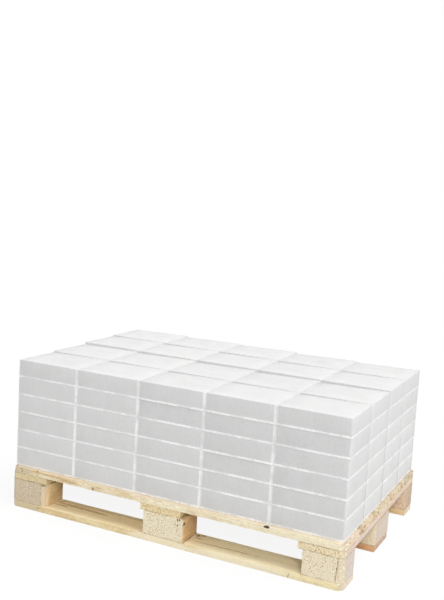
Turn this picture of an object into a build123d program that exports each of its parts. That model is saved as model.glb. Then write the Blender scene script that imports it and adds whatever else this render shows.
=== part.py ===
from build123d import *
import os

# Loaded pallet: small aerated concrete panels stacked flat on a flat wooden four-way pallet.
# Millimetres. The origin is on the floor under the middle of the pallet: +X runs along the
# pallet's length, +Y to its back and +Z up.

# Pallet, overall
PALLET_LENGTH = 1200.0
PALLET_WIDTH = 800.0
CORNER_CUT = 16.0            # bevel down the four upright corners of the pallet

# Pallet, blocks
BLOCK_HEIGHT = 78.0
BLOCK_LENGTH = 145.0         # along the pallet's length
OUTER_BLOCK_WIDTH = 100.0    # across the pallet, front and back rows
MIDDLE_BLOCK_WIDTH = 145.0   # across the pallet, middle row
BLOCK_ARRIS = 2.0            # small bevel down the sawn edges of a block
SHORT_BLOCK_LENGTH = 130.0   # the right front block was sawn shorter
WANE_RADIUS = 26.0           # round bark edge left on the left front block

# Pallet, boards
BOTTOM_BOARD_THICKNESS = 22.0
CROSS_BOARD_THICKNESS = 22.0
DECK_BOARD_THICKNESS = 22.0
CROSS_BOARD_WIDTH = BLOCK_LENGTH
WIDE_DECK_BOARD = 145.0      # front, middle and back boards of the deck
NARROW_DECK_BOARD = 100.0    # the two between them
BOARD_ARRIS = 2.0            # small bevel along the sawn edges of a board
MIDDLE_CROSS_SHIFT = -14.0   # the middle cross board is nailed on this far to the left

# Load
PANEL_COLUMNS = 5            # along the pallet's length
PANEL_ROWS = 4               # across the pallet
PANEL_LAYERS = 6
PANEL_LENGTH = 235.2
PANEL_WIDTH = 190.0
PANEL_THICKNESS = 62.0
PANEL_EDGE = 2.5             # bevel down the upright edges and round the upper face
PANEL_FOOT_EDGE = 1.0        # bevel round the lower face
COLUMN_GAP = 0.5
ROW_GAP = 3.0
MIDDLE_ROW_GAP = 9.0         # the front and back halves of the load stand this far apart

# Levels
CROSS_BOARD_LEVEL = BOTTOM_BOARD_THICKNESS + BLOCK_HEIGHT
DECK_LEVEL = CROSS_BOARD_LEVEL + CROSS_BOARD_THICKNESS
LOAD_LEVEL = DECK_LEVEL + DECK_BOARD_THICKNESS

# Places of the block rows and columns, measured to their middles
BLOCK_COLUMN = (PALLET_LENGTH - BLOCK_LENGTH) / 2
BLOCK_ROW = (PALLET_WIDTH - OUTER_BLOCK_WIDTH) / 2
CROSS_BOARD_END = (PALLET_LENGTH - CROSS_BOARD_WIDTH) / 2

SOLE = (Align.CENTER, Align.CENTER, Align.MIN)


def pallet_outline():
    """Upright prism of the pallet's plan, with its four corners cut off."""
    plan = Rectangle(PALLET_LENGTH, PALLET_WIDTH)
    plan = chamfer(plan.vertices(), CORNER_CUT)
    return extrude(plan, LOAD_LEVEL)


def long_board(width, thickness, y, level):
    """Board along the whole length of the pallet, trimmed at the pallet's corners."""
    board = Box(PALLET_LENGTH, width, thickness, align=SOLE)
    board = chamfer(board.edges().filter_by(Axis.X), BOARD_ARRIS)
    return Pos(0, y, level) * board & pallet_outline()


def cross_board(x):
    """Board across the pallet, over one column of blocks."""
    board = Box(CROSS_BOARD_WIDTH, PALLET_WIDTH, CROSS_BOARD_THICKNESS, align=SOLE)
    board = chamfer(board.edges().filter_by(Axis.Y), BOARD_ARRIS)
    return Pos(x, 0, CROSS_BOARD_LEVEL) * board & pallet_outline()


def block(length, width, wane_radius=0.0):
    """Sawn block, with a round bark edge at its right front corner if one is given."""
    body = Box(length, width, BLOCK_HEIGHT, align=SOLE)
    bark_corner = (length / 2, -width / 2, BLOCK_HEIGHT / 2)
    upright = body.edges().filter_by(Axis.Z).sort_by_distance(bark_corner)
    if not wane_radius:
        return chamfer(upright, BLOCK_ARRIS)
    body = chamfer(upright[1:], BLOCK_ARRIS)
    bark_edge = body.edges().filter_by(Axis.Z).sort_by_distance(bark_corner)[0]
    return fillet(bark_edge, wane_radius)


def bottom_boards():
    """Three boards on the floor, one under each row of blocks."""
    rows = {
        "front": (-BLOCK_ROW, OUTER_BLOCK_WIDTH),
        "middle": (0.0, MIDDLE_BLOCK_WIDTH),
        "back": (BLOCK_ROW, OUTER_BLOCK_WIDTH),
    }
    return {
        f"bottom_board_{row}": long_board(width, BOTTOM_BOARD_THICKNESS, y, 0)
        for row, (y, width) in rows.items()
    }


def blocks():
    """Nine blocks in three rows, trimmed at the pallet's corners."""
    rows = {
        "front": (-BLOCK_ROW, OUTER_BLOCK_WIDTH),
        "middle": (0.0, MIDDLE_BLOCK_WIDTH),
        "back": (BLOCK_ROW, OUTER_BLOCK_WIDTH),
    }
    columns = {"left": -BLOCK_COLUMN, "middle": 0.0, "right": BLOCK_COLUMN}
    made = {}
    for row, (y, width) in rows.items():
        for column, x in columns.items():
            length, wane = BLOCK_LENGTH, 0.0
            if (row, column) == ("front", "left"):
                wane = WANE_RADIUS
            if (row, column) == ("front", "right"):
                length = SHORT_BLOCK_LENGTH
                x = (PALLET_LENGTH - length) / 2
            placed = Pos(x, y, BOTTOM_BOARD_THICKNESS) * block(length, width, wane)
            made[f"block_{row}_{column}"] = placed & pallet_outline()
    return made


def cross_boards():
    """Three boards across the pallet, one over each column of blocks."""
    return {
        "cross_board_left": cross_board(-CROSS_BOARD_END),
        "cross_board_middle": cross_board(MIDDLE_CROSS_SHIFT),
        "cross_board_right": cross_board(CROSS_BOARD_END),
    }


def deck_boards():
    """Five boards along the pallet, evenly spaced from edge to edge."""
    outer = (PALLET_WIDTH - WIDE_DECK_BOARD) / 2
    boards = {
        "front": (-outer, WIDE_DECK_BOARD),
        "front_inner": (-outer / 2, NARROW_DECK_BOARD),
        "middle": (0.0, WIDE_DECK_BOARD),
        "back_inner": (outer / 2, NARROW_DECK_BOARD),
        "back": (outer, WIDE_DECK_BOARD),
    }
    return {
        f"deck_board_{name}": long_board(width, DECK_BOARD_THICKNESS, y, DECK_LEVEL)
        for name, (y, width) in boards.items()
    }


def line_of_pieces(count, size, gap, middle_gap):
    """Middles of equal pieces in a line about zero; an even line has its own gap half way."""
    places = [i * (size + gap) for i in range(count)]
    if count % 2 == 0:
        places = [p + (middle_gap - gap) * (i >= count // 2) for i, p in enumerate(places)]
    middle = (places[0] + places[-1]) / 2
    return [place - middle for place in places]


def panel():
    """One panel lying flat, with its face edges and corners bevelled and its foot just eased."""
    body = Box(PANEL_LENGTH, PANEL_WIDTH, PANEL_THICKNESS, align=SOLE)
    body = chamfer(body.edges().filter_by(Axis.Z), PANEL_EDGE)
    body = chamfer(body.faces().sort_by(Axis.Z)[-1].edges(), PANEL_EDGE)
    return chamfer(body.faces().sort_by(Axis.Z)[0].edges(), PANEL_FOOT_EDGE)


def panel_layers():
    """Layers of panels, each layer lying face to face on the one below it."""
    columns = line_of_pieces(PANEL_COLUMNS, PANEL_LENGTH, COLUMN_GAP, COLUMN_GAP)
    rows = line_of_pieces(PANEL_ROWS, PANEL_WIDTH, ROW_GAP, MIDDLE_ROW_GAP)
    piece = panel()
    made = {}
    for layer in range(PANEL_LAYERS):
        level = LOAD_LEVEL + layer * PANEL_THICKNESS
        laid = [Pos(x, y, level) * piece for y in rows for x in columns]
        made[f"panel_layer_{layer + 1}"] = Compound(children=laid)
    return made


def main():
    os.makedirs("parts", exist_ok=True)
    nodes = {}
    for group in (bottom_boards, blocks, cross_boards, deck_boards, panel_layers):
        nodes.update(group())
    for name, shape in nodes.items():
        export_step(shape, f"parts/{name}.step")


main()
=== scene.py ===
import math
import random

import bmesh
import bpy
from mathutils import Matrix, Vector


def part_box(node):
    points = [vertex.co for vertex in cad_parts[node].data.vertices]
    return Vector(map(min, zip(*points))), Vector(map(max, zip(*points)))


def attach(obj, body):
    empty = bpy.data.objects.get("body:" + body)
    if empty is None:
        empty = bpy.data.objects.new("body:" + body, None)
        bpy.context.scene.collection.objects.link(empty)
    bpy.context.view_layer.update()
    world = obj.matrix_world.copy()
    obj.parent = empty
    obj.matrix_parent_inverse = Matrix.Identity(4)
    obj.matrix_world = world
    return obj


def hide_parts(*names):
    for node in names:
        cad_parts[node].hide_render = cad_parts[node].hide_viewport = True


# Loaded pallet. Metres; +X along the pallet, +Y to its back, +Z up, floor at zero.

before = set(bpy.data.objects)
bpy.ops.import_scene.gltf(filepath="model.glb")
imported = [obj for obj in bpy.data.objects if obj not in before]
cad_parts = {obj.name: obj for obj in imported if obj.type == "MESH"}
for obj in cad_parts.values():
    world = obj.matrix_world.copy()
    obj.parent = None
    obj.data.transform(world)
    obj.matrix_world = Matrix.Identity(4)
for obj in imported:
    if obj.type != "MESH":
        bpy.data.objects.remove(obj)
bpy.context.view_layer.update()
chance = random.Random(7)


# Sizes of the pallet

PALLET_END = 0.600           # half its length
PALLET_SIDE = 0.400          # half its width
BLOCK_LEVEL = 0.022          # the blocks' undersides
CROSS_LEVEL = 0.100          # the cross boards' undersides
DECK_LEVEL = 0.122           # the deck boards' undersides
LOAD_LEVEL = 0.144           # the deck's upper face
CORNER_CUT = 0.016           # bevel down the pallet's four upright corners
CORNER_REACH = 0.010         # upright edges this near to a corner get that bevel
ARRIS = 0.002                # eased sawn edges
WANE = 0.026                 # round bark edge of the front left block
KNOCKED_END = 0.013          # rounding of the front deck board's left end
TRIM = 0.003                 # a board is shorter by up to this much at each end
PITH_ASIDE = 0.03            # the rings' middle lies this far aside of the piece's middle at most
PITH_BELOW = (0.03, 0.09)    # and this far below it
HEAD_DROP = 0.0003           # the nail heads stand out this far below the bottom boards

# Steps of the net that the rough surface is pressed into
BOARD_NET = (0.030, 0.030, 0.012)
BLOCK_NET = (0.012, 0.012, 0.012)

# Slight waves that touching pieces share: name, size, direction and height
WAVES = (
    ("wave_y", 0.30, "Y", 0.0030),
    ("wave_z", 0.30, "Z", 0.0010),
)
TOOTH = 0.028                # size of the bumps of a sawn face
BOARD_TOOTH_HEIGHT = 0.0009
BLOCK_TOOTH_HEIGHT = 0.0013

# Nail heads under the bottom boards, three under each block
NAIL_ROWS = (-0.35, 0.0, 0.35)
NAIL_COLUMNS = (-0.5275, 0.0, 0.5275)
NAIL_PATTERN = ((-0.040, -0.020), (0.000, 0.022), (0.040, -0.018))
NAIL_PLAY = 0.004
HEAD_RADIUS = 0.0045
HEAD_THICKNESS = 0.0016
HEAD_EDGE = 0.0005


# Sizes of the load

PANEL = Vector((0.2355, 0.190, 0.062))
COLUMN_STEP = 0.2357
COLUMNS = [(i - 2) * COLUMN_STEP for i in range(5)]
ROWS = (-0.2925, -0.0995, 0.0995, 0.2925)
LAYERS = 6
LOAD_END = COLUMNS[-1] + PANEL.x / 2
LOAD_SIDE = ROWS[-1] + PANEL.y / 2
UPPER_EDGE = 0.0007          # rounding of a panel's upright edges and round its upper face
FOOT_EDGE = 0.001

# How far a panel may lie off its place, along and across the load, and off square in degrees
PLAY_ALONG = 0.00008
PLAY_ACROSS = 0.0012
PLAY_TURN = 0.05

# The back left corner of a top panel leans to the right, to the front and down by this much
CORNER_LEAN = (0.0022, -0.0040, -0.0042)
FRONT_DIP = 0.0022           # the two front rows of the top layer lie this much lower besides


# Modelling helpers

NEAR = 1e-5
NEARLY_SQUARE = 1.5          # in radians; of the upright edges only unworked ones turn by more
ROUND = 0.6                  # profile of a worn edge
SMOOTH_BELOW = math.radians(35)


def play(amount):
    """Random length or angle, up to the amount either way."""
    return chance.uniform(-amount, amount)


def clear_selection():
    bpy.ops.object.select_all(action="DESELECT")


def work_on(piece):
    clear_selection()
    piece.select_set(True)
    bpy.context.view_layer.objects.active = piece


def settle(piece):
    """Puts the piece's place, turn and size into its mesh."""
    work_on(piece)
    bpy.ops.object.transform_apply(location=True, rotation=True, scale=True)


def sawn_block(name, low, high):
    """Plain block between two corners, as a start."""
    clear_selection()
    low, high = Vector(low), Vector(high)
    bpy.ops.mesh.primitive_cube_add(size=1, location=(low + high) / 2, scale=high - low)
    piece = bpy.context.object
    piece.name = piece.data.name = name
    settle(piece)
    return piece


def copy_of(piece):
    twin = piece.copy()
    twin.data = piece.data.copy()
    bpy.context.collection.objects.link(twin)
    return twin


def pick(piece, kind, wanted):
    """Selects the edges or faces that wanted() says yes to, and stays in edit mode."""
    work_on(piece)
    bpy.ops.object.mode_set(mode="EDIT")
    bpy.ops.mesh.select_mode(type={"edges": "EDGE", "faces": "FACE"}[kind])
    bpy.ops.mesh.select_all(action="DESELECT")
    net = bmesh.from_edit_mesh(piece.data)
    for part in getattr(net, kind):
        if wanted(part):
            part.select_set(True)
    net.select_flush_mode()
    bmesh.update_edit_mesh(piece.data)


def done_editing():
    bpy.ops.object.mode_set(mode="OBJECT")


def bevel(piece, wanted, width, segments=1, profile=0.5):
    """Bevels the edges that wanted() says yes to."""
    pick(piece, "edges", wanted)
    bpy.ops.mesh.bevel(offset=width, segments=segments, profile=profile, affect="EDGES")
    done_editing()


def slice_up(piece, axis, places):
    """Cuts across the piece, square to an axis."""
    work_on(piece)
    bpy.ops.object.mode_set(mode="EDIT")
    across = [0, 0, 0]
    across[axis] = 1
    for place in places:
        bpy.ops.mesh.select_all(action="SELECT")
        at = [0, 0, 0]
        at[axis] = place
        bpy.ops.mesh.bisect(plane_co=at, plane_no=across)
    done_editing()


def grid(piece, low, high, steps):
    """Cuts the piece all ways into about equal steps."""
    for axis, step in enumerate(steps):
        size = high[axis] - low[axis]
        count = max(1, round(size / step))
        slice_up(piece, axis, [low[axis] + size * k / count for k in range(1, count)])


def joined(pieces, name):
    clear_selection()
    for piece in pieces:
        piece.select_set(True)
    bpy.context.view_layer.objects.active = pieces[0]
    bpy.ops.object.join()
    whole = bpy.context.object
    whole.name = whole.data.name = name
    return whole


def finish_piece(piece, material, slot, *nodes):
    """Shading, finish and body of a finished piece; the parts that it stands in for are hidden."""
    work_on(piece)
    bpy.ops.object.shade_smooth_by_angle(angle=SMOOTH_BELOW)
    piece.data.materials.clear()
    piece.data.materials.append(material)
    if nodes:
        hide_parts(*nodes)
    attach(piece, "root")


def runs_along(edge, axis):
    a, b = (v.co for v in edge.verts)
    return abs((b - a).normalized()[axis]) > 0.99


def middle(edge):
    a, b = (v.co for v in edge.verts)
    return (a + b) / 2


def is_upright(edge):
    return runs_along(edge, 2)


def is_pallet_corner(edge):
    """Upright edge at one of the pallet's four corners."""
    x, y, _ = middle(edge)
    near = abs(x) > PALLET_END - CORNER_REACH and abs(y) > PALLET_SIDE - CORNER_REACH
    return near and is_upright(edge)


# Material helpers

class Nodes:
    """Node tree, with short calls for the nodes that values are made from."""

    def __init__(self, tree):
        self.tree = tree
        tree.nodes.clear()

    def node(self, kind):
        return self.tree.nodes.new(kind)

    def join(self, start, end):
        self.tree.links.new(start, end)

    def feed(self, socket, value):
        if isinstance(value, bpy.types.NodeSocket):
            self.join(value, socket)
        else:
            socket.default_value = value

    def maths(self, what, *values):
        n = self.node("ShaderNodeMath")
        n.operation = what
        for socket, value in zip(n.inputs, values):
            self.feed(socket, value)
        return n.outputs[0]

    def plus(self, total, *others):
        for other in others:
            total = self.maths("ADD", total, other)
        return total

    def times(self, total, *others):
        for other in others:
            total = self.maths("MULTIPLY", total, other)
        return total

    def minus(self, a, b):
        return self.maths("SUBTRACT", a, b)

    def larger(self, a, b):
        return self.maths("MAXIMUM", a, b)

    def smaller(self, a, b):
        return self.maths("MINIMUM", a, b)

    def fade(self, value, low, high, start=0.0, end=1.0):
        """Value moved smoothly from the range low..high to start..end, held at its ends."""
        n = self.node("ShaderNodeMapRange")
        n.interpolation_type = "SMOOTHSTEP"
        for socket, v in zip(n.inputs, (value, low, high, start, end)):
            self.feed(socket, v)
        return n.outputs[0]

    def mixed(self, share, a, b):
        """Two shaders in one."""
        n = self.node("ShaderNodeMixShader")
        for socket, value in zip(n.inputs, (share, a, b)):
            self.feed(socket, value)
        return n.outputs[0]


class Finish(Nodes):
    """Material with one plain surface."""

    def __init__(self, name):
        self.material = bpy.data.materials.new(name)
        self.material.use_nodes = True
        super().__init__(self.material.node_tree)
        self.shader = self.node("ShaderNodeBsdfPrincipled")
        self.output = self.node("ShaderNodeOutputMaterial")
        self.join(self.shader.outputs[0], self.output.inputs["Surface"])
        coordinates = self.node("ShaderNodeTexCoord")
        self.place = coordinates.outputs["Object"]
        self.facing = coordinates.outputs["Normal"]

    def surface(self, values):
        """Sets the surface's values by their names, and gives the finished material."""
        for name, value in values.items():
            self.feed(self.shader.inputs[name], value)
        return self.material

    def mapped(self, vector, scale=(1, 1, 1), turn=(0, 0, 0)):
        n = self.node("ShaderNodeMapping")
        self.feed(n.inputs["Vector"], vector)
        n.inputs["Scale"].default_value = scale
        n.inputs["Rotation"].default_value = turn
        return n.outputs[0]

    def noise(self, vector, scale, detail=2.0, rough=0.5, colour=False):
        n = self.node("ShaderNodeTexNoise")
        self.feed(n.inputs["Vector"], vector)
        n.inputs["Scale"].default_value = scale
        n.inputs["Detail"].default_value = detail
        n.inputs["Roughness"].default_value = rough
        return n.outputs["Color" if colour else "Fac"]

    def stray(self, vector, scale, width, detail=2.0):
        """Small random step, any way, within about half the width."""
        step = self.noise(vector, scale, detail=detail, colour=True)
        return self.vectors("SCALE", self.vectors("SUBTRACT", step, (0.5, 0.5, 0.5)), width)

    def cells(self, vector, scale, output="Distance", randomness=1.0):
        n = self.node("ShaderNodeTexVoronoi")
        self.feed(n.inputs["Vector"], vector)
        n.inputs["Scale"].default_value = scale
        n.inputs["Randomness"].default_value = randomness
        return n.outputs[output]

    def vectors(self, what, a, b=(0, 0, 0)):
        n = self.node("ShaderNodeVectorMath")
        n.operation = what
        self.feed(n.inputs[0], a)
        self.feed(n.inputs["Scale"] if what == "SCALE" else n.inputs[1], b)
        return n.outputs["Value" if what in ("LENGTH", "DOT_PRODUCT") else "Vector"]

    def split(self, vector):
        n = self.node("ShaderNodeSeparateXYZ")
        self.feed(n.inputs[0], vector)
        return n.outputs

    def blend(self, share, a, b, way="MIX"):
        n = self.node("ShaderNodeMix")
        n.data_type = "RGBA"
        n.blend_type = way
        self.feed(n.inputs["Factor"], share)
        self.feed(n.inputs[6], (*a, 1.0) if isinstance(a, tuple) else a)
        self.feed(n.inputs[7], (*b, 1.0) if isinstance(b, tuple) else b)
        return n.outputs[2]

    def ramp(self, value, low, high):
        """Colour between two stops, each a position and a colour."""
        n = self.node("ShaderNodeValToRGB")
        self.feed(n.inputs[0], value)
        for element, (at, colour) in zip(n.color_ramp.elements, (low, high)):
            element.position = at
            element.color = (*colour, 1.0)
        return n.outputs[0]

    def relief(self, height, depth):
        n = self.node("ShaderNodeBump")
        n.inputs["Strength"].default_value = 1.0
        n.inputs["Distance"].default_value = depth
        self.feed(n.inputs["Height"], height)
        return n.outputs[0]

    def attribute(self, name, output):
        n = self.node("ShaderNodeAttribute")
        n.attribute_name = name
        return n.outputs[output]


def shaded(colour, *shares):
    return tuple(min(1.0, part * share) for part, share in zip(colour, shares))


def grey(level, less_blue=0.002):
    return (level, level, level - less_blue)


# Finish of the panels

# Fineness of the patterns, in waves or cells to the metre
CLOUDS = 14.0
CRUMBS = 260.0
PORES = 420.0
PORE_PATCHES = 90.0
WIRE_LINES = (170.0, 170.0, 8.0)

# Chalk and painted highlight are full up to the first distance from an edge, and end at the second
FOOT_CHALK_AND_HIGHLIGHT = (0.0055, 0.0085)
SIDE_CHALK_AND_HIGHLIGHT = (0.0015, 0.0080)
RAGGED = 0.0010              # how far the outline of the chalk and painted highlight wanders
CORNER_RUB = (0.014, 0.008)  # it thins between these distances from the load's own ends
FOOT_CHALK_AND_HIGHLIGHT_RUN = (-0.50, 0.25)      # and grows between these places along the load

# Shade down the far edge of an end: distances where it starts and is full, heights where it fades out
FAR_EDGE = (0.0075, 0.0035)
FAR_EDGE_HEIGHTS = (0.25, 0.39)

JOINT_DUST_AND_FILL_LIGHT = (0.0040, 0.0100)       # chalk dust and painted light in the joints start and are full so far inside the load
LOW_CORNER_SHADE = 0.026           # width of the painted shade on an upper face
CONCRETE_RELIEF = 0.0006


def concrete_body(f, face, crumbs, pore, wire):
    """Mottled grey. The upright faces are darker than the upper ones, most of all the front and back ones:
    painted shade on the sides.
    """
    cloud = f.noise(f.place, CLOUDS, detail=4.0, rough=0.6)
    colour = f.ramp(cloud, (0.30, grey(0.642)), (0.70, grey(0.698)))
    colour = f.blend(f.fade(f.attribute("tone", "Fac"), 0.0, 1.0, 0.0, 0.45), colour, grey(0.720))
    colour = f.blend(f.fade(crumbs, 0.42, 0.64, 0.0, 0.30), colour, grey(0.570, 0.005))
    colour = f.blend(f.fade(wire, 0.38, 0.66, 0.0, 0.13), colour, grey(0.570))
    colour = f.blend(f.times(pore, 0.55), colour, grey(0.400, 0.005))
    # painted shade: the upright faces darker than the upper ones, the front and back ones most
    colour = f.blend(f.fade(face[2], 0.5, 0.8, 0.09, 0.0), colour, grey(0.400))
    return f.blend(f.fade(face[1], 0.5, 0.8, 0.0, 0.05), colour, grey(0.400))


def chalk_and_edge_highlight(f, face, spot):
    """Share of the chalk and painted highlight along the foot and down the upright edges of each panel."""
    from_middle = f.split(f.vectors("ABSOLUTE", spot))
    ragged = f.fade(f.noise(f.place, 160.0, detail=3.0), 0.3, 0.7, -RAGGED, RAGGED)
    to_end = f.minus(PANEL.x / 2, from_middle[0])
    to_side = f.minus(PANEL.y / 2, from_middle[1])
    to_foot = f.plus(f.split(spot)[2], PANEL.z / 2, ragged)
    to_upright = f.plus(f.larger(to_end, to_side), ragged)
    foot = f.times(f.fade(to_foot, *FOOT_CHALK_AND_HIGHLIGHT, 1.0, 0.0), f.fade(face[0], 0.5, 0.8, 0.92, 0.66),
                   f.fade(f.split(f.place)[0], *FOOT_CHALK_AND_HIGHLIGHT_RUN, 0.72, 1.0))
    along = f.split(f.vectors("ABSOLUTE", f.place))[0]
    clean_from, clean_to = (LOAD_END - rub for rub in CORNER_RUB)
    side = f.times(f.fade(to_upright, *SIDE_CHALK_AND_HIGHLIGHT, 1.0, 0.0), f.fade(face[0], 0.6, 0.9, 0.68, 0.42),
                   f.fade(along, clean_from, clean_to, 1.0, 0.45))
    rubbed = f.noise(f.mapped(f.place, scale=(22.0, 22.0, 34.0)), 1.0, detail=3.0, rough=0.65)
    return f.times(f.larger(foot, side), f.fade(rubbed, 0.38, 0.58, 0.45, 1.0),
                   f.fade(face[2], 0.80, 0.95, 1.0, 0.0))


def far_edge(f, face, spot):
    """Share of the shade down the far edge of each panel's end, low on the load."""
    edge = f.fade(f.split(spot)[1], *(PANEL.y / 2 - distance for distance in FAR_EDGE))
    low = f.fade(f.split(f.place)[2], *FAR_EDGE_HEIGHTS, 1.0, 0.0)
    return f.times(edge, f.fade(face[0], 0.80, 0.95, 0.0, 0.55), low)


def joint_dust_and_fill_light(f, face):
    """Share of the pale chalk dust and painted light that lift the shade in the joints inside the load."""
    from_middle = f.split(f.vectors("ABSOLUTE", f.place))
    inside = f.smaller(f.minus(LOAD_END, from_middle[0]), f.minus(LOAD_SIDE, from_middle[1]))
    return f.times(f.fade(inside, *JOINT_DUST_AND_FILL_LIGHT), 0.62, f.fade(face[2], 0.50, 0.80, 1.0, 0.0))


def low_corner_shade(f, face, spot):
    """Share of the painted shade along the low left end of each upper face."""
    along, across, _ = f.split(spot)
    left = f.fade(along, -PANEL.x / 2, -PANEL.x / 2 + LOW_CORNER_SHADE, 1.0, 0.0)
    back = f.fade(across, -0.03, PANEL.y / 2)
    patchy = f.fade(f.noise(f.place, 40.0), 0.3, 0.6, 0.25, 0.9)
    return f.times(left, back, patchy, f.fade(face[2], 0.80, 0.95), 0.42)


def aerated_concrete():
    """Pale, matt and finely porous, with chalky arrises down the sides of each panel."""
    f = Finish("aerated_concrete")
    spot = f.attribute("spot", "Vector")
    face = f.split(f.vectors("ABSOLUTE", f.facing))
    crumbs = f.noise(f.place, CRUMBS, detail=3.0, rough=0.7)
    pore = f.times(f.fade(f.cells(f.place, PORES), 0.12, 0.30, 1.0, 0.0),
                   f.fade(f.noise(f.place, PORE_PATCHES), 0.48, 0.62))
    wire = f.noise(f.mapped(f.place, scale=WIRE_LINES), 1.0, rough=0.6)
    colour = concrete_body(f, face, crumbs, pore, wire)
    # chalk, and a painted highlight on the panels' eased edges
    colour = f.blend(chalk_and_edge_highlight(f, face, spot), colour, grey(0.950))
    colour = f.blend(far_edge(f, face, spot), colour, grey(0.360))
    # pale chalk dust, and painted light that lifts the shade in the joints
    colour = f.blend(joint_dust_and_fill_light(f, face), colour, grey(0.800))
    # painted shade along the low left end of each upper face
    colour = f.blend(low_corner_shade(f, face, spot), colour, grey(0.500))
    height = f.plus(f.minus(f.times(crumbs, 0.35), pore), f.times(wire, 0.2))
    return f.surface({
        "Base Color": colour,
        "Roughness": 0.95,
        "Specular IOR Level": 0.05,
        "Normal": f.relief(height, CONCRETE_RELIEF),
    })


# Finish of the wood

FIRST_SEED = 11              # every piece of wood has the next one
RINGS = 190.0                # year rings to the metre
SAW_LINES = 1500.0           # radians to the metre
WORN_RIM = (0.020, 0.008)    # worn end of a deck board's upper face: it starts and is full so near to it
JOINT_SHADE_WIDTH = (0.0008, 0.0026)       # painted shade is full up to the first distance from a joint, gone at the second
MARK_EDGE = (-0.0003, 0.0009)       # a mark fades between these distances from its outline
WOOD_RELIEF = 0.0008
BROWN = (0.600, 0.420, 0.220)
HUSK = (0.985, 0.950, 0.800)
# colour of the painted shade in the joints between pallet pieces
JOINT_SHADE = (0.300, 0.190, 0.090)
KNOT_RIM = (0.420, 0.250, 0.120)
KNOT_HEART = (0.200, 0.100, 0.045)

# Pale and warm colours of the long faces, colour of the sawn ends, and how strongly these are speckled
DECK_WOOD = ((0.920, 0.820, 0.590), (0.890, 0.750, 0.540))
WOODS = {
    "block": ((0.900, 0.740, 0.510), (0.880, 0.660, 0.430), (0.880, 0.805, 0.620), 0.85),
    "block_front_left": ((0.900, 0.690, 0.400), (0.840, 0.580, 0.310), (0.640, 0.540, 0.390), 0.55),
    "block_front_middle": ((0.920, 0.640, 0.365), (0.850, 0.550, 0.285), (0.900, 0.830, 0.630), 1.15),
    "block_front_right": ((0.665, 0.588, 0.530), (0.645, 0.560, 0.500), (0.880, 0.800, 0.610), 0.95),
    "block_middle_right": ((0.637, 0.560, 0.475), (0.608, 0.513, 0.437), (0.880, 0.760, 0.550), 0.5),
    "block_back_right": ((0.530, 0.425, 0.325), (0.500, 0.380, 0.285), (0.850, 0.635, 0.460), 0.85),
    "bottom_board_front": ((0.900, 0.790, 0.495), (0.770, 0.610, 0.340), (0.760, 0.660, 0.530), 0.85),
    "bottom_board_middle": ((0.755, 0.432, 0.226), (0.675, 0.360, 0.173), (0.555, 0.365, 0.265), 0.85),
    "bottom_board_back": ((0.845, 0.625, 0.345), (0.805, 0.560, 0.290), (0.720, 0.600, 0.430), 0.85),
    "cross_board_left": ((0.820, 0.680, 0.420), (0.780, 0.620, 0.370), (0.720, 0.600, 0.360), 0.45),
    "cross_board_middle": ((0.950, 0.820, 0.520), (0.900, 0.750, 0.470), (0.860, 0.725, 0.430), 1.2),
    "cross_board_right": ((0.725, 0.605, 0.520), (0.705, 0.570, 0.480), (0.900, 0.780, 0.520), 1.5),
    "deck_board_front": ((0.910, 0.830, 0.615), (0.740, 0.600, 0.380), (0.870, 0.730, 0.580), 1.5),
    "deck_board_front_inner": (*DECK_WOOD, (0.790, 0.670, 0.480), 1.2),
    "deck_board_middle": (*DECK_WOOD, (0.760, 0.640, 0.460), 1.1),
    "deck_board_back_inner": (*DECK_WOOD, (0.730, 0.620, 0.450), 0.85),
    "deck_board_back": (*DECK_WOOD, (0.640, 0.560, 0.400), 1.2),
}

# How much warmer a board gets towards its left end
LEAN = {"deck_board_front": 0.45, "bottom_board_front": 0.45}

# What pieces of a kind share: the axis of their grain, the fineness of the speckle on their ends, the
# levels where painted shade sits in a joint, and the share and colour of the dust on what faces up
# pale straw dust, also painted light on the shaded tops of the blocks and bottom boards
STRAW_DUST_AND_LIGHT = (0.94, (1.000, 0.895, 0.630))
KINDS = {
    "block": {
        "along": "Y", "fineness": 215.0, "joints": (BLOCK_LEVEL, CROSS_LEVEL), "dust": STRAW_DUST_AND_LIGHT,
    },
    "bottom_board": {
        "along": "X", "fineness": 180.0, "joints": (), "dust": STRAW_DUST_AND_LIGHT,
    },
    "cross_board": {
        "along": "Y", "fineness": 180.0, "joints": (CROSS_LEVEL, DECK_LEVEL),
        "dust": (0.85, (0.560, 0.450, 0.320)),
    },
    "deck_board": {
        "along": "X", "fineness": 180.0, "joints": (), "dust": (0.80, (0.700, 0.590, 0.450)),
    },
}

# Colour and share of each kind of mark, and whether it is sunk
MARK_LOOKS = {
    "split": ((0.120, 0.070, 0.030), 0.95, True),
    "knot": ((0.045, 0.028, 0.016), 0.95, True),
    "stain": ((0.330, 0.230, 0.110), 0.95, True),
    "check": ((0.420, 0.270, 0.120), 0.85, False),
    "streak": ((0.560, 0.360, 0.170), 0.75, False),
    "bark": ((0.730, 0.590, 0.400), 0.75, False),
    # weathering on the pallet's left ends; on the front right corner bevel the same colour is painted shade
    "weathering_and_painted_shade": ((0.610, 0.530, 0.375), 0.75, False),
    "pale": ((0.940, 0.860, 0.660), 0.65, False),
    "tan": ((1.000, 0.790, 0.430), 0.40, False),
    # painted shade: darkens the front strip of the bottom board's top, lit by the key light under the
    # deck's edge
    "darkened": ((0.840, 0.740, 0.530), 0.40, False),
}

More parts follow.
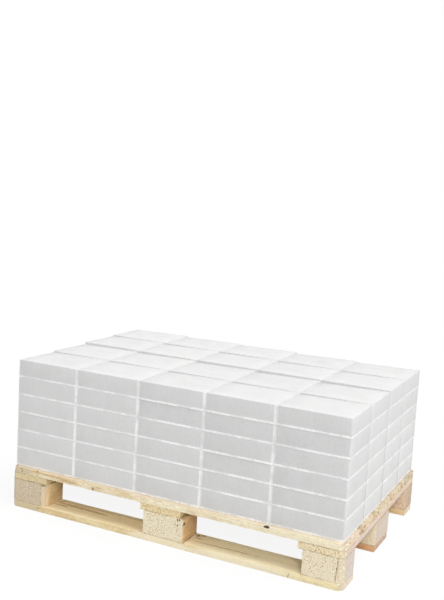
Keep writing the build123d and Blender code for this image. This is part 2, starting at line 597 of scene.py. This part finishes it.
# Marks of each piece: a long one has its start, its end and its width, a round one its middle and size
MARKS = {
    "deck_board_front": [
        ("weathering_and_painted_shade", (-0.600, -0.400, 0.130), (-0.515, -0.400, 0.134), 0.0110),
        # painted shade on the front right corner bevel
        ("weathering_and_painted_shade", (0.592, -0.392, 0.122), (0.592, -0.392, 0.142), 0.0100),
        ("pale", (0.352, -0.400, 0.1410), (0.0170, 0.014, 0.0070)),
        ("knot", (0.352, -0.400, 0.1415), (0.0105, 0.012, 0.0042)),
        ("stain", (-0.267, -0.400, 0.1275), (0.0034, 0.010, 0.0082)),
        ("streak", (-0.262, -0.400, 0.1370), (-0.228, -0.400, 0.1350), 0.0024),
        ("stain", (-0.558, -0.400, 0.1370), (0.0035, 0.006, 0.0030)),
        ("stain", (-0.556, -0.400, 0.1290), (0.0025, 0.006, 0.0025)),
        ("stain", (-0.492, -0.400, 0.1410), (0.0040, 0.006, 0.0028)),
        ("stain", (-0.493, -0.400, 0.1260), (0.0025, 0.006, 0.0025)),
        ("streak", (-0.520, -0.400, 0.1380), (-0.330, -0.400, 0.1340), 0.0030),
        ("streak", (-0.410, -0.400, 0.1320), (-0.310, -0.400, 0.1300), 0.0022),
        ("stain", (0.600, -0.262, 0.1300), (0.012, 0.0060, 0.0050)),
        ("stain", (0.600, -0.352, 0.1360), (0.012, 0.0040, 0.0030)),
    ],
    "deck_board_front_inner": [
        ("stain", (0.600, -0.205, 0.1340), (0.014, 0.0070, 0.0070)),
        ("stain", (0.600, -0.150, 0.1270), (0.012, 0.0040, 0.0030)),
    ],
    "deck_board_middle": [
        ("stain", (0.600, -0.066, 0.1320), (0.012, 0.0060, 0.0050)),
        ("stain", (0.600, 0.040, 0.1290), (0.012, 0.0040, 0.0040)),
    ],
    "deck_board_back_inner": [
        ("stain", (0.600, 0.124, 0.1310), (0.012, 0.0060, 0.0060)),
        ("stain", (0.600, 0.190, 0.1290), (0.012, 0.0050, 0.0040)),
    ],
    "deck_board_back": [
        ("stain", (0.600, 0.270, 0.1290), (0.012, 0.0060, 0.0060)),
        ("stain", (0.600, 0.320, 0.1370), (0.012, 0.0050, 0.0040)),
        ("stain", (0.600, 0.364, 0.1290), (0.012, 0.0050, 0.0040)),
    ],
    "bottom_board_front": [
        ("pale", (-0.020, -0.400, 0.008), (0.120, 0.030, 0.0170)),
        ("pale", (0.250, -0.400, 0.009), (0.200, 0.010, 0.0150)),
        ("weathering_and_painted_shade", (-0.600, -0.400, 0.006), (-0.485, -0.400, 0.010), 0.0150),
        # painted shade on the front right corner bevel
        ("weathering_and_painted_shade", (0.592, -0.392, 0.000), (0.592, -0.392, 0.022), 0.0120),
        ("tan", (-0.255, -0.350, 0.022), (0.210, 0.055, 0.0040)),
        # painted shade along the front strip of the board's top
        ("darkened", (-0.264, -0.384, 0.022), (0.210, 0.0125, 0.0040)),
        ("darkened", (0.270, -0.384, 0.022), (0.210, 0.0125, 0.0040)),
        ("streak", (-0.448, -0.334, 0.022), (-0.240, -0.342, 0.022), 0.0080),
        ("check", (-0.452, -0.350, 0.022), (-0.395, -0.352, 0.022), 0.0040),
        ("check", (-0.450, -0.330, 0.022), (-0.430, -0.312, 0.022), 0.0036),
        ("streak", (-0.440, -0.318, 0.022), (-0.100, -0.316, 0.022), 0.0030),
        ("split", (0.0745, -0.402, 0.022), (0.0745, -0.300, 0.022), 0.0012),
        ("stain", (0.088, -0.318, 0.022), (0.006, 0.009, 0.006)),
        ("stain", (0.104, -0.310, 0.022), (0.009, 0.004, 0.006)),
        ("check", (0.084, -0.338, 0.022), (0.116, -0.334, 0.022), 0.0030),
        ("streak", (0.090, -0.362, 0.022), (0.330, -0.356, 0.022), 0.0030),
        ("split", (0.434, -0.400, 0.021), (0.431, -0.400, 0.002), 0.0007),
    ],
    "cross_board_right": [
        # painted shade on the front right corner bevel
        ("weathering_and_painted_shade", (0.592, -0.392, 0.102), (0.592, -0.392, 0.122), 0.0100),
        ("check", (0.600, -0.310, 0.1012), (0.600, 0.395, 0.1012), 0.0022),
    ],
    "block_front_left": [
        ("bark", (-0.4680, -0.393, 0.060), (0.0090, 0.012, 0.050)),
        ("check", (-0.4775, -0.400, 0.100), (-0.4770, -0.400, 0.020), 0.0009),
        ("stain", (-0.469, -0.396, 0.0950), (0.0060, 0.012, 0.0036)),
        # painted shade: a dark band along the top of the block's inner face, under the boards
        ("stain", (-0.455, -0.310, 0.1010), (0.006, 0.080, 0.0060)),
        ("check", (-0.455, -0.304, 0.098), (-0.455, -0.306, 0.062), 0.0050),
    ],
    "block_front_middle": [
        ("split", (0.051, -0.400, 0.098), (0.053, -0.400, 0.087), 0.0014),
        ("split", (0.0535, -0.400, 0.079), (0.0525, -0.400, 0.072), 0.0010),
        ("check", (0.053, -0.400, 0.066), (0.052, -0.400, 0.052), 0.0010),
        ("stain", (0.060, -0.400, 0.095), (0.0040, 0.006, 0.0035)),
        ("knot", (0.0725, -0.393, 0.083), (0.004, 0.005, 0.006)),
    ],
    "block_front_right": [
        # painted shade on the front right corner bevel
        ("weathering_and_painted_shade", (0.592, -0.392, 0.010), (0.592, -0.392, 0.112), 0.0145),
        ("split", (0.5800, -0.400, 0.096), (0.5785, -0.400, 0.060), 0.0011),
        ("check", (0.5785, -0.400, 0.064), (0.5750, -0.400, 0.024), 0.0014),
    ],
}


class Grain:
    """Patterns in one board or block, all stretched along its grain.

    Its rings lie about a pith that runs along the piece, at a given place across and in height.
    """

    def __init__(self, f, along, seed, pith, fineness, lean):
        self.f = f
        turn = (0, 0, 0) if along == "X" else (0, 0, math.pi / 2)
        draw = random.Random(seed)
        turned = f.mapped(f.place, turn=turn)
        self.facing = f.split(f.mapped(f.facing, turn=turn))
        self.run, across, up = f.split(turned)
        self.own = f.vectors("ADD", turned, tuple(draw.uniform(-9, 9) for _ in range(3)))
        self.draw_knots()
        self.draw_rings(across, up, pith)
        self.fibre = self.pattern(14.0, 900.0, detail=3.0, rough=0.6)
        self.streak = self.pattern(2.4, 60.0, detail=3.0, rough=0.6)
        self.line = self.pattern(1.5, 130.0, rough=0.6)
        self.fleck = self.pattern(70.0, 210.0, detail=3.0, rough=0.7)
        self.crumb = self.pattern(120.0, fineness, detail=3.0, rough=0.75)
        self.patch = f.minus(self.pattern(5.0, 12.0), f.times(self.run, lean))

    def stretched(self, along, across):
        """The piece's own places, so that a pattern has this many waves to the metre."""
        return self.f.mapped(self.own, scale=(along, across, across))

    def pattern(self, along, across, **settings):
        """Noise with this many waves to the metre along the grain and across it."""
        return self.f.noise(self.stretched(along, across), 1.0, **settings)

    def draw_knots(self):
        """Knots lie in about a quarter of the cells."""
        f = self.f
        place = self.stretched(6.0, 10.0)
        self.from_knot = f.cells(place, 1.0, randomness=0.9)
        choice = f.split(f.cells(place, 1.0, output="Color", randomness=0.9))[0]
        knotty = f.fade(choice, 0.72, 0.73)
        self.by_knot = f.times(f.fade(self.from_knot, 0.0, 0.36, 1.0, 0.0), knotty)
        self.knot = f.times(f.fade(self.from_knot, 0.06, 0.10, 1.0, 0.0), knotty)

    def draw_rings(self, across, up, pith):
        """Dark late wood of the year rings, which bend round the knots."""
        f = self.f
        sway = f.split(f.stray(self.stretched(1.6, 7.0), 1.0, 0.018))
        aside = f.plus(f.minus(across, pith[0]), sway[1])
        above = f.plus(f.minus(up, pith[1]), sway[2])
        radius = f.maths("SQRT", f.plus(f.times(aside, aside), f.times(above, above)))
        ring = f.maths("FRACT", f.plus(f.times(radius, RINGS), f.times(self.by_knot, 2.2)))
        self.late = f.times(f.fade(ring, 0.40, 0.92), f.fade(ring, 0.92, 1.0, 1.0, 0.0))


def long_faces(f, grain, pale, warm):
    """Colour of the faces that lie along the grain."""
    light = shaded(pale, 1.06, 1.10, 1.20)
    dark = shaded(pale, 0.74, 0.64, 0.52)
    colour = f.blend(f.fade(grain.patch, 0.42, 0.60), pale, warm)
    colour = f.blend(f.fade(grain.streak, 0.55, 0.75, 0.0, 0.50), colour, BROWN)
    colour = f.blend(f.fade(grain.streak, 0.28, 0.44, 0.50, 0.0), colour, light)
    colour = f.blend(f.times(grain.late, 0.22), colour, BROWN)
    colour = f.blend(f.fade(grain.fibre, 0.45, 0.80, 0.0, 0.22), colour, BROWN)
    colour = f.blend(f.fade(grain.fleck, 0.50, 0.66, 0.0, 0.45), colour, dark)
    colour = f.blend(f.fade(grain.fleck, 0.34, 0.48, 0.60, 0.0), colour, light)
    colour = f.blend(f.times(grain.by_knot, 0.18), colour, BROWN)
    knot_colour = f.blend(f.fade(grain.from_knot, 0.0, 0.08, 1.0, 0.0), KNOT_RIM, KNOT_HEART)
    return f.blend(f.times(grain.knot, 0.80), colour, knot_colour)


def dusted_and_lit(f, grain, colour, share, dust):
    """Colour with dust on what faces up, worn along the grain. The pale straw dust is also painted light on
    the shaded tops under the deck.
    """
    darkened = shaded(dust, 0.91, 0.76, 0.60)
    dust_colour = f.blend(f.fade(grain.line, 0.52, 0.66, 0.0, 0.70), dust, darkened)
    dust_colour = f.blend(f.fade(grain.patch, 0.52, 0.66, 0.0, 0.35), dust_colour, darkened)
    lies = f.times(f.fade(grain.facing[2], 0.7, 0.95), f.fade(grain.fleck, 0.3, 0.6, 1.0, 0.7), share)
    return f.blend(lies, colour, dust_colour)


def sawn_ends(f, grain, colour, end, grit, worn_rim):
    """Colour with speckled end grain where the piece was sawn across, and where that is.

    With a worn rim the end grain runs a little way onto the upper face.
    """
    sawn = f.fade(f.maths("ABSOLUTE", grain.facing[0]), 0.55, 0.70)
    torn = f.fade(f.noise(grain.own, 34.0), 0.40, 0.60, 0.40, 1.0)
    light = f.times(f.fade(grain.crumb, 0.36, 0.50, 0.95 * grit, 0.0), torn)
    dark = f.times(f.fade(grain.crumb, 0.50, 0.62, 0.0, 0.95 * grit), torn)
    bran = shaded(end, 0.62, 0.47, 0.32)
    end_colour = f.blend(light, end, HUSK)
    end_colour = f.blend(dark, end_colour, bran)
    end_colour = f.blend(f.times(grain.late, 0.35 * grit), end_colour, bran)
    if worn_rim:
        start, full = (PALLET_END - distance for distance in WORN_RIM)
        rim = f.times(f.fade(f.maths("ABSOLUTE", grain.run), start, full, 0.0, 0.9),
                      f.fade(grain.facing[2], 0.7, 0.95))
        end_colour = f.blend(rim, end_colour, grey(0.62, 0.0), way="MULTIPLY")
        sawn = f.larger(sawn, rim)
    return f.blend(sawn, colour, end_colour), sawn


def with_joint_shade(f, grain, colour, place, levels):
    """Colour with patchy painted shade at the levels where two pieces meet, except on undersides."""
    patchy = f.times(f.fade(f.noise(f.place, 38.0, detail=3.0), 0.35, 0.60, 0.25, 1.0),
                     f.fade(grain.facing[2], -0.8, -0.5))
    for level in levels:
        away = f.maths("ABSOLUTE", f.minus(f.split(place)[2], level))
        shade_line = f.times(f.fade(away, *JOINT_SHADE_WIDTH, 0.60, 0.0), patchy)
        colour = f.blend(shade_line, colour, JOINT_SHADE)
    return colour


def long_mark(f, place, start, end, width):
    """Share of a ragged mark from start to end, widest half way."""
    run = Vector(end) - Vector(start)
    from_start = f.vectors("SUBTRACT", place, start)
    share = f.vectors("DOT_PRODUCT", from_start, tuple(run / run.length_squared))
    share = f.smaller(f.larger(share, 0.0), 1.0)
    away = f.vectors("SUBTRACT", from_start, f.vectors("SCALE", tuple(run), share))
    reach = f.times(f.maths("SQRT", f.times(share, f.minus(1.0, share), 4.0)), width)
    mark = f.fade(f.minus(f.vectors("LENGTH", away), reach), *MARK_EDGE, 1.0, 0.0)
    return f.times(mark, f.fade(f.noise(f.place, 130.0), 0.36, 0.50, 0.25, 1.0))


def round_mark(f, place, centre, size):
    """Share of a rounded mark."""
    away = f.vectors("DIVIDE", f.vectors("SUBTRACT", place, centre), size)
    return f.fade(f.vectors("LENGTH", away), 0.75, 1.1, 1.0, 0.0)


def marked(f, colour, place, marks):
    """Colour with the marks over it, and where they are sunk."""
    sunk = 0.0
    for kind, *shape in marks:
        mark = long_mark(f, place, *shape) if len(shape) == 3 else round_mark(f, place, *shape)
        tint, share, is_sunk = MARK_LOOKS[kind]
        colour = f.blend(f.times(mark, share), colour, tint)
        if is_sunk:
            sunk = f.larger(sunk, mark)
    return colour, sunk


def softwood(node, seed, pith, along, fineness, joints, dust):
    """Sawn pine or spruce for one board or block."""
    f = Finish(f"wood_{node}")
    pale, warm, end, grit = WOODS.get(node, WOODS["block"])
    grain = Grain(f, along, seed, pith, fineness, LEAN.get(node, 0.0))
    colour = long_faces(f, grain, pale, warm)
    # dust, with painted light where the straw dust lifts the shaded tops under the deck
    colour = dusted_and_lit(f, grain, colour, *dust)
    colour, sawn = sawn_ends(f, grain, colour, end, grit, worn_rim=node.startswith("deck"))
    loose = f.vectors("ADD", f.place, f.stray(f.place, 55.0, 0.006, detail=3.0))
    # painted shade in the joints where the pieces meet
    colour = with_joint_shade(f, grain, colour, loose, joints)
    colour, sunk = marked(f, colour, loose, MARKS.get(node, ()))
    saw = f.maths("SINE", f.plus(f.times(grain.run, SAW_LINES), f.times(grain.streak, 9.0)))
    height = f.plus(grain.fibre, f.times(saw, 0.08), f.times(grain.crumb, sawn, 1.5))
    height = f.minus(height, f.times(sunk, 3.0))
    return f.surface({
        "Base Color": colour,
        "Roughness": f.fade(grain.fibre, 0.2, 0.8, 0.70, 0.88),
        "Specular IOR Level": 0.25,
        "Normal": f.relief(height, WOOD_RELIEF),
    })


def nail_steel():
    """Dull galvanised wire nail."""
    f = Finish("nail_steel")
    spots = f.noise(f.place, 900.0, detail=3.0)
    return f.surface({
        "Base Color": f.ramp(spots, (0.35, (0.30, 0.29, 0.28)), (0.65, (0.46, 0.45, 0.44))),
        "Metallic": 0.85,
        "Roughness": f.fade(spots, 0.3, 0.7, 0.40, 0.62),
    })


# The load

def panel_blank():
    """One panel about the middle of its foot, cut into a coarse grid."""
    low = (-PANEL.x / 2, -PANEL.y / 2, 0)
    high = (PANEL.x / 2, PANEL.y / 2, PANEL.z)
    piece = sawn_block("panel_blank", low, high)
    bevel(piece, is_upright, UPPER_EDGE, segments=2, profile=ROUND)
    bevel(piece, lambda e: min(v.co.z for v in e.verts) > PANEL.z - NEAR, UPPER_EDGE,
          segments=2, profile=ROUND)
    bevel(piece, lambda e: max(v.co.z for v in e.verts) < NEAR, FOOT_EDGE)
    slice_up(piece, 0, [PANEL.x * k / 4 for k in (-1, 0, 1)])
    slice_up(piece, 1, [PANEL.y * k / 4 for k in (-1, 0, 1)])
    # where each spot lies in its own panel, for the finish
    spots = piece.data.attributes.new("spot", "FLOAT_VECTOR", "POINT")
    for spot, vertex in zip(spots.data, piece.data.vertices):
        spot.vector = vertex.co - Vector((0, 0, PANEL.z / 2))
    return piece


def dip_back_corner(piece, dip):
    """A panel of the top layer: its back left corner lies low and a little in, and all of it dips."""
    aside, forward, down = CORNER_LEAN
    for vertex in piece.data.vertices:
        x, y, z = vertex.co
        share = (0.5 - x / PANEL.x) * (0.5 + y / PANEL.y)
        vertex.co.x += aside * share
        vertex.co.y += forward * share
        vertex.co.z += (down * share - dip) * z / PANEL.z


def laid_panel(blank, x, y, layer):
    """Copy of the blank, laid with a hair of play, with its own tone."""
    piece = copy_of(blank)
    if layer == LAYERS - 1:
        dip_back_corner(piece, FRONT_DIP if y < 0 else 0.0)
    piece.location = (x + play(PLAY_ALONG), y + play(PLAY_ACROSS), LOAD_LEVEL + layer * PANEL.z)
    piece.rotation_euler = (0, 0, math.radians(play(PLAY_TURN)))
    settle(piece)
    tone = piece.data.attributes.new("tone", "FLOAT", "FACE")
    tone.data.foreach_set("value", [chance.random()] * len(tone.data))
    return piece


def lay_panels():
    concrete = aerated_concrete()
    blank = panel_blank()
    for layer in range(LAYERS):
        laid = [laid_panel(blank, x, y, layer) for y in ROWS for x in COLUMNS]
        bed = joined(laid, f"laid_panels_{layer + 1}")
        finish_piece(bed, concrete, "aerated_concrete", f"panel_layer_{layer + 1}")
    bpy.data.objects.remove(blank)


# The pallet

def roughen(piece, tooth_height):
    """Uneven sawn surface, and the slight waves that touching pieces share."""
    for name, size, direction, height in (*WAVES, ("tooth", TOOTH, "NORMAL", tooth_height)):
        cloud = bpy.data.textures.get(name) or bpy.data.textures.new(name, "CLOUDS")
        cloud.noise_scale = size
        wave = piece.modifiers.new(name, "DISPLACE")
        wave.texture = cloud
        wave.texture_coords = "LOCAL"
        wave.direction = direction
        wave.strength = height
        wave.mid_level = 0.5
        work_on(piece)
        bpy.ops.object.modifier_apply(modifier=name)
    keep_within(piece)


def keep_within(piece):
    """Brings what the rough surface pushed out back to the pallet's box, above the nail heads."""
    low = (-PALLET_END, -PALLET_SIDE, HEAD_DROP)
    high = (PALLET_END, PALLET_SIDE, LOAD_LEVEL)
    for vertex in piece.data.vertices:
        vertex.co = [min(max(c, a), b) for c, a, b in zip(vertex.co, low, high)]


def sawn_board(node, along):
    """Board in its place, a hair shorter than drawn, with rough faces and eased edges."""
    low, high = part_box(node)
    piece = sawn_block(f"sawn_{node}", low, high)
    axis = "XY".index(along)
    trims = (chance.uniform(0.0, TRIM), -chance.uniform(0.0, TRIM))
    for end, trim in zip((low[axis], high[axis]), trims):
        pick(piece, "faces", lambda face: abs(face.calc_center_median()[axis] - end) < NEAR)
        step = [0.0, 0.0, 0.0]
        step[axis] = trim
        bpy.ops.transform.translate(value=step)
        done_editing()
    bevel(piece, is_pallet_corner, CORNER_CUT)
    if node == "deck_board_front":
        # the upper edges of its left end are knocked round
        bevel(piece, lambda e: not runs_along(e, 0) and middle(e).x < CORNER_CUT - PALLET_END
              and middle(e).z > high[2] - NEAR, KNOCKED_END, segments=5)
    bevel(piece, lambda e: runs_along(e, axis), ARRIS, segments=2, profile=ROUND)
    grid(piece, low, high, BOARD_NET)
    roughen(piece, BOARD_TOOTH_HEIGHT)
    return piece


def sawn_offcut(node):
    """Block in its place. The front left one has a round bark edge at its right front corner."""
    low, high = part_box(node)
    piece = sawn_block(f"sawn_{node}", low, high)
    if node == "block_front_left":
        bevel(piece, lambda e: is_upright(e) and middle(e).x > high[0] - NEAR
              and middle(e).y < low[1] + NEAR, WANE, segments=6)
    bevel(piece, is_pallet_corner, CORNER_CUT)
    bevel(piece, lambda e: is_upright(e) and e.calc_face_angle() > NEARLY_SQUARE, ARRIS,
          segments=2, profile=ROUND)
    grid(piece, low, high, BLOCK_NET)
    roughen(piece, BLOCK_TOOTH_HEIGHT)
    return piece


def build_pallet():
    """Boards and blocks, each with a wood of its own."""
    wooden = [node for node in sorted(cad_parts) if not node.startswith("panel")]
    for number, node in enumerate(wooden):
        kind = next(kind for kind in KINDS if node.startswith(kind))
        block = kind == "block"
        along = KINDS[kind]["along"]
        piece = sawn_offcut(node) if block else sawn_board(node, along)
        low, high = (Vector(corner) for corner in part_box(node))
        centre = (low + high) / 2
        across = -centre.x if along == "Y" else centre.y
        pith = (across + play(PITH_ASIDE), centre.z - chance.uniform(*PITH_BELOW))
        wood = softwood(node, number + FIRST_SEED, pith, **KINDS[kind])
        finish_piece(piece, wood, "block_wood" if block else "board_wood", node)


def drive_nails():
    """Nail heads under the bottom boards."""
    steel = nail_steel()
    clear_selection()
    bpy.ops.mesh.primitive_cylinder_add(vertices=16, radius=HEAD_RADIUS, depth=HEAD_THICKNESS,
                                        location=(0, 0, 0))
    blank = bpy.context.object
    bevel(blank, lambda e: middle(e).z < NEAR - HEAD_THICKNESS / 2, HEAD_EDGE, segments=2)
    heads = []
    for y in NAIL_ROWS:
        for x in NAIL_COLUMNS:
            for aside, back in NAIL_PATTERN:
                head = copy_of(blank)
                head.location = (x + aside + play(NAIL_PLAY), y + back + play(NAIL_PLAY),
                                 HEAD_THICKNESS / 2)
                settle(head)
                heads.append(head)
    bpy.data.objects.remove(blank)
    nails = joined(heads, "nail_heads_below")
    finish_piece(nails, steel, None)


# Studio

FLOOR_SIZE = 60.0
FLOOR_BOUNCE = 0.62          # grey that the floor throws back at the object
FLOOR_SEEN = 0.80            # grey that the eye sees, and the share of white glow over it
FLOOR_GLOW = 0.90
AIR_GLOW = 0.39              # light from all round

# Strength, direction towards the lamp, and width in degrees
LAMPS = {
    "key_light": (2.465, (0.455, 0.0, 0.890), 40),
    "front_light": (1.362, (0.374, -0.724, 0.580), 18),
}

# The photograph's viewpoint: place, and azimuth, height and roll in degrees
VIEWPOINT = Vector((1.305, -2.810, 1.194))
VIEW_ANGLES = (26.13, 8.32, 3.2)
LENS = 54.4
LENS_SHIFT = 0.02
SENSOR = 36.0                # millimetres, as the lens


def lay_floor():
    """Floor that looks white to the eye and keeps the object's shadow."""
    clear_selection()
    bpy.ops.mesh.primitive_plane_add(size=FLOOR_SIZE, location=(0, 0, 0))
    floor = bpy.context.object
    floor.name = floor.data.name = "studio_floor"
    f = Finish("studio_floor")
    ray = f.node("ShaderNodeLightPath").outputs
    seen = f.larger(f.larger(ray["Is Camera Ray"], ray["Is Glossy Ray"]), ray["Is Transmission Ray"])
    material = f.surface({
        "Base Color": f.blend(seen, grey(FLOOR_BOUNCE, 0.0), grey(FLOOR_SEEN, 0.0)),
        "Roughness": 1.0,
        "Specular IOR Level": 0.0,
    })
    glow = f.node("ShaderNodeEmission").outputs[0]
    f.join(f.mixed(f.times(seen, FLOOR_GLOW), f.shader.outputs[0], glow), f.output.inputs["Surface"])
    floor.data.materials.append(material)


def hang_lamps():
    for name, (strength, direction, width) in LAMPS.items():
        sun = bpy.data.lights.new(name, "SUN")
        sun.energy = strength
        sun.angle = math.radians(width)
        lamp = bpy.data.objects.new(name, sun)
        bpy.context.collection.objects.link(lamp)
        lamp.rotation_mode = "QUATERNION"
        lamp.rotation_quaternion = Vector(direction).to_track_quat("Z", "Y")


def fill_air():
    """White to the eye, and weaker as a light."""
    world = bpy.data.worlds.new("studio_air")
    bpy.context.scene.world = world
    world.use_nodes = True
    air = Nodes(world.node_tree)
    ray = air.node("ShaderNodeLightPath").outputs
    glows = []
    for strength in (AIR_GLOW, 1.0):
        glow = air.node("ShaderNodeBackground")
        glow.inputs["Color"].default_value = (1, 1, 1, 1)
        glow.inputs["Strength"].default_value = strength
        glows.append(glow.outputs[0])
    seen = air.larger(ray["Is Camera Ray"], ray["Is Transmission Ray"])
    air.join(air.mixed(seen, *glows), air.node("ShaderNodeOutputWorld").inputs["Surface"])


def set_camera():
    azimuth, height, roll = (math.radians(angle) for angle in VIEW_ANGLES)
    right = Vector((math.cos(azimuth), math.sin(azimuth), 0))
    back = Vector((math.sin(azimuth) * math.cos(height), -math.cos(azimuth) * math.cos(height),
                   math.sin(height)))
    up = back.cross(right)
    side = math.cos(roll) * right + math.sin(roll) * up
    top = -math.sin(roll) * right + math.cos(roll) * up
    lens = bpy.data.cameras.new("camera")
    lens.sensor_width = SENSOR
    lens.lens = LENS
    lens.shift_x = LENS_SHIFT
    lens.clip_start = 0.05
    lens.clip_end = 100.0
    view = bpy.data.objects.new("camera", lens)
    bpy.context.collection.objects.link(view)
    turn = Matrix((side, top, back)).transposed()
    view.matrix_world = Matrix.Translation(VIEWPOINT) @ turn.to_4x4()
    bpy.context.scene.camera = view


bpy.context.scene.view_settings.view_transform = "Standard"
lay_panels()
build_pallet()
drive_nails()
lay_floor()
hang_lamps()
fill_air()
set_camera()

clear_selection()
